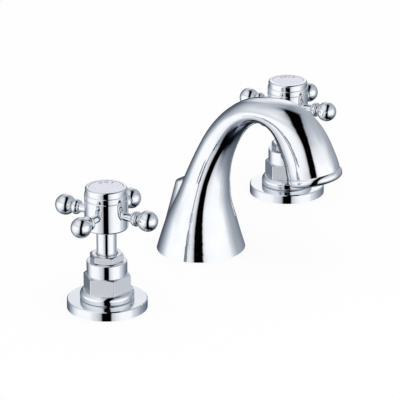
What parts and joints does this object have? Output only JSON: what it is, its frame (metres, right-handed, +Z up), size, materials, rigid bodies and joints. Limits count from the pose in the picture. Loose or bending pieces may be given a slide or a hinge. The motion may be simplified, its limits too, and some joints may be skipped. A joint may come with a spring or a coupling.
{
  "type": "widespread basin mixer",
  "caption": "Deck-mounted basin mixer in polished chrome: side valves with cross handles and a swan-neck spout, each clamped from below by its own nut.",
  "frame": {"origin": "on the deck's top face, in the middle of the spout's foot", "axes": "+Z up, +X from the hot valve through the spout to the cold valve, the spout reaches towards -Y where the user stands"},
  "size_m": [0.3058, 0.1354, 0.187],
  "materials": {
    "polished_chrome": "mirror-polished chrome plate on brass",
    "plain_brass": "machined, unplated",
    "black_rubber": "matt moulded rubber",
    "stainless_steel": "plain stainless steel",
    "white_ceramic": "lapped alumina ceramic",
    "index_plastic": "smooth pale glossy plastic",
    "grey_plastic": "moulded grey plastic",
    "white_plastic": "moulded white plastic"
  },
  "bodies": {
    "root": {"aerator_core": "white_plastic", "aerator_housing": "polished_chrome", "aerator_screen": "stainless_steel", "aerator_washer": "black_rubber", "cold_backnut": "plain_brass", "cold_cartridge_body": "plain_brass", "cold_cover": "polished_chrome", "cold_fixed_disc": "white_ceramic", "cold_flange": "polished_chrome", "cold_flange_gasket": "black_rubber", "cold_gland_nut": "polished_chrome", "cold_metal_washer": "stainless_steel", "cold_rubber_washer": "black_rubber", "cold_seat_seal": "black_rubber", "cold_valve_body": "plain_brass", "hot_backnut": "plain_brass", "hot_cartridge_body": "plain_brass", "hot_cover": "polished_chrome", "hot_fixed_disc": "white_ceramic", "hot_flange": "polished_chrome", "hot_flange_gasket": "black_rubber", "hot_gland_nut": "polished_chrome", "hot_metal_washer": "stainless_steel", "hot_rubber_washer": "black_rubber", "hot_seat_seal": "black_rubber", "hot_valve_body": "plain_brass", "inlet_tee": "plain_brass", "rod_hole_plug": "grey_plastic", "spout_backnut": "plain_brass", "spout_body": "polished_chrome", "spout_gasket": "black_rubber", "spout_metal_washer": "stainless_steel", "spout_rubber_washer": "black_rubber", "spout_shank": "plain_brass"},
    "hot_handle": {"hot_spindle": "plain_brass", "hot_moving_disc": "white_ceramic", "hot_spindle_oring": "black_rubber", "hot_spindle_circlip": "stainless_steel", "hot_stem_sleeve": "polished_chrome", "hot_handle_hub": "polished_chrome", "hot_handle_arm_1": "polished_chrome", "hot_handle_arm_2": "polished_chrome", "hot_handle_arm_3": "polished_chrome", "hot_handle_arm_4": "polished_chrome", "hot_handle_screw": "stainless_steel", "hot_cap_ring": "polished_chrome", "hot_index_disc": "index_plastic"},
    "cold_handle": {"cold_spindle": "plain_brass", "cold_moving_disc": "white_ceramic", "cold_spindle_oring": "black_rubber", "cold_spindle_circlip": "stainless_steel", "cold_stem_sleeve": "polished_chrome", "cold_handle_hub": "polished_chrome", "cold_handle_arm_1": "polished_chrome", "cold_handle_arm_2": "polished_chrome", "cold_handle_arm_3": "polished_chrome", "cold_handle_arm_4": "polished_chrome", "cold_handle_screw": "stainless_steel", "cold_cap_ring": "polished_chrome", "cold_index_disc": "index_plastic"}
  },
  "joints": [
    {"name": "hot_valve_turn", "type": "hinge", "parent": "root", "child": "hot_handle", "pos_m": [-0.117, 0, 0], "axis": [0, 0, 1], "range_deg": [0, 90]},
    {"name": "cold_valve_turn", "type": "hinge", "parent": "root", "child": "cold_handle", "pos_m": [0.117, 0, 0], "axis": [0, 0, 1], "range_deg": [-90, 0]}
  ]
}
